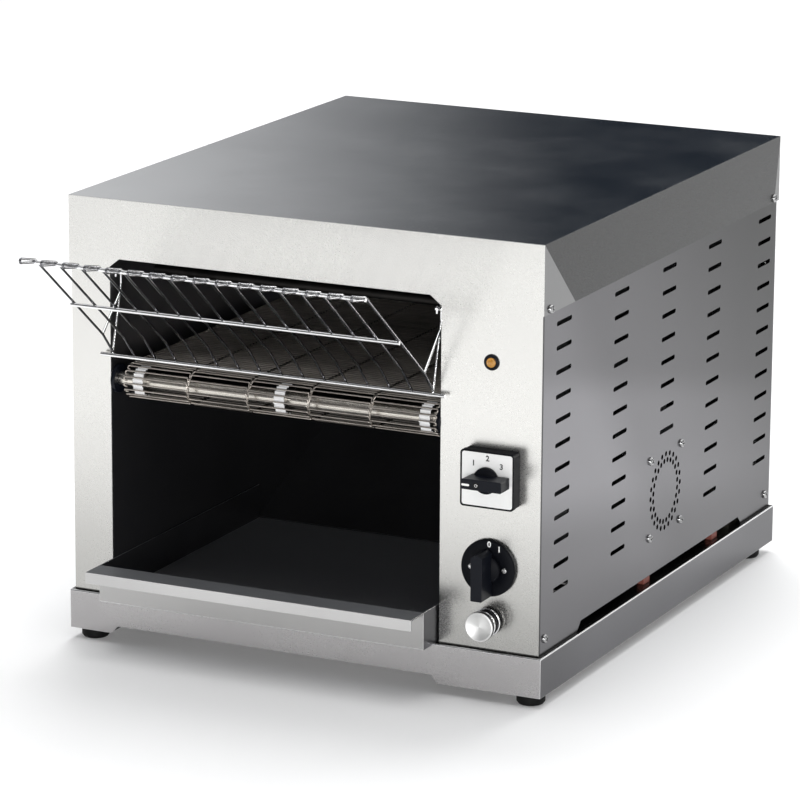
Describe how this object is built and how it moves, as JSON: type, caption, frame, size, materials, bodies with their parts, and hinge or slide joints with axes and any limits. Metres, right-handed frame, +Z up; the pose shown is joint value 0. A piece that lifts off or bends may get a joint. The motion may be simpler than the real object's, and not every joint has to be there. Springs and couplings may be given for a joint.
{
  "type": "conveyor toaster",
  "caption": "Box-shaped countertop conveyor toaster: wire feed rack, wire belt between heater tubes, chute to a pull-out tray, control column with turning switches.",
  "frame": {"origin": "middle of the whole toaster's footprint, on the plane of the feet's undersides", "axes": "+X to the right seen from the front, +Y towards the back, +Z up"},
  "size_m": [0.4602, 0.7139, 0.404],
  "materials": {
    "satin_steel": "satin brushed stainless sheet",
    "bright_steel": "polished stainless",
    "dark_sheet": "heat-darkened aluminised sheet",
    "heater": "quartz and coil, cold",
    "ceramic": "white ceramic",
    "belt_wire": "stainless wire, a little tanned",
    "sprocket_steel": "bare machined",
    "chain_steel": "oiled steel",
    "gear_case": "cast, bare",
    "motor_case": "black enamel",
    "black_plastic": "satin black",
    "gloss_black": "black with a soft gloss",
    "foot_rubber": "black rubber",
    "amber_lens": "amber, translucent",
    "label_white": "white printed plate",
    "knob_aluminium": "turned face",
    "cream_plastic": "cream",
    "red_plastic": "dull red"
  },
  "bodies": {
    "body": {"base_frame": "satin_steel", "feet": "foot_rubber", "foot_nuts": "bright_steel", "side_panel_left": "satin_steel", "side_panel_right": "satin_steel", "top_cover": "satin_steel", "front_post": "satin_steel", "control_panel": "satin_steel", "rear_panel": "satin_steel", "chamber_wall_left": "dark_sheet", "chamber_wall_right": "dark_sheet", "chamber_ceiling": "dark_sheet", "toast_chute": "dark_sheet", "heat_shield": "dark_sheet", "upper_heaters": "heater", "lower_heaters": "heater", "heater_collars": "ceramic", "shaft_bushes": "black_plastic", "wire_belt": "belt_wire", "drive_chain": "chain_steel", "gearbox": "gear_case", "motor": "motor_case", "motor_bracket": "satin_steel", "fan_frame": "black_plastic", "fan_screws": "bright_steel", "lamp_bezel": "black_plastic", "lamp_lens": "amber_lens", "selector_frame": "black_plastic", "selector_label": "label_white", "selector_switch": "black_plastic", "power_plate": "black_plastic", "power_screws": "bright_steel", "power_switch": "black_plastic", "speed_control": "black_plastic", "rack_studs": "bright_steel", "terminal_block": "cream_plastic", "cable_gland": "black_plastic", "wire_clips": "red_plastic", "cover_screws": "bright_steel", "base_screws": "bright_steel", "rear_screws": "bright_steel"},
    "front_roller": {"front_shaft": "bright_steel", "front_sprockets": "sprocket_steel"},
    "rear_roller": {"rear_shaft": "bright_steel", "rear_sprockets": "sprocket_steel", "chain_sprocket": "chain_steel"},
    "motor_drive": {"motor_sprocket": "chain_steel"},
    "fan": {"fan_rotor": "black_plastic"},
    "selector_knob": {"selector_handle": "gloss_black"},
    "power_knob": {"power_handle": "gloss_black"},
    "speed_dial": {"speed_knob": "black_plastic", "speed_knob_cap": "knob_aluminium"},
    "tray": {"toast_tray": "bright_steel"},
    "rack": {"feed_rack": "bright_steel"}
  },
  "joints": [
    {"name": "tray_slide", "type": "slide", "parent": "body", "child": "tray", "axis": [0, -1, 0], "range_m": [0, 0.25]},
    {"name": "rack_lift", "type": "slide", "parent": "body", "child": "rack", "axis": [0, 0, 1], "range_m": [0, 0.009]},
    {"name": "selector_turn", "type": "hinge", "parent": "body", "child": "selector_knob", "pos_m": [0.1825, -0.20975, 0.1997], "axis": [0, 1, 0], "range_deg": [0, 135]},
    {"name": "power_turn", "type": "hinge", "parent": "body", "child": "power_knob", "pos_m": [0.1795, -0.19975, 0.1194], "axis": [0, 1, 0], "range_deg": [0, 30]},
    {"name": "speed_turn", "type": "hinge", "parent": "body", "child": "speed_dial", "pos_m": [0.1795, -0.20675, 0.072], "axis": [0, 1, 0], "range_deg": [0, 270]},
    {"name": "rear_roller_spin", "type": "hinge", "parent": "body", "child": "rear_roller", "pos_m": [-0.0275, 0.19905, 0.2411], "axis": [-1, 0, 0], "continuous": true},
    {"name": "front_roller_spin", "type": "hinge", "parent": "body", "child": "front_roller", "pos_m": [-0.0275, -0.18375, 0.2411], "axis": [-1, 0, 0], "continuous": true},
    {"name": "motor_spin", "type": "hinge", "parent": "body", "child": "motor_drive", "pos_m": [0.1495, 0.19905, 0.1255], "axis": [-1, 0, 0], "continuous": true},
    {"name": "fan_spin", "type": "hinge", "parent": "body", "child": "fan", "pos_m": [0.2135, 0.08125, 0.1245], "axis": [1, 0, 0], "continuous": true}
  ],
  "couplings": [
    {"joint": "front_roller_spin", "follows": "rear_roller_spin", "ratio": 1},
    {"joint": "motor_spin", "follows": "rear_roller_spin", "ratio": 1.5}
  ]
}
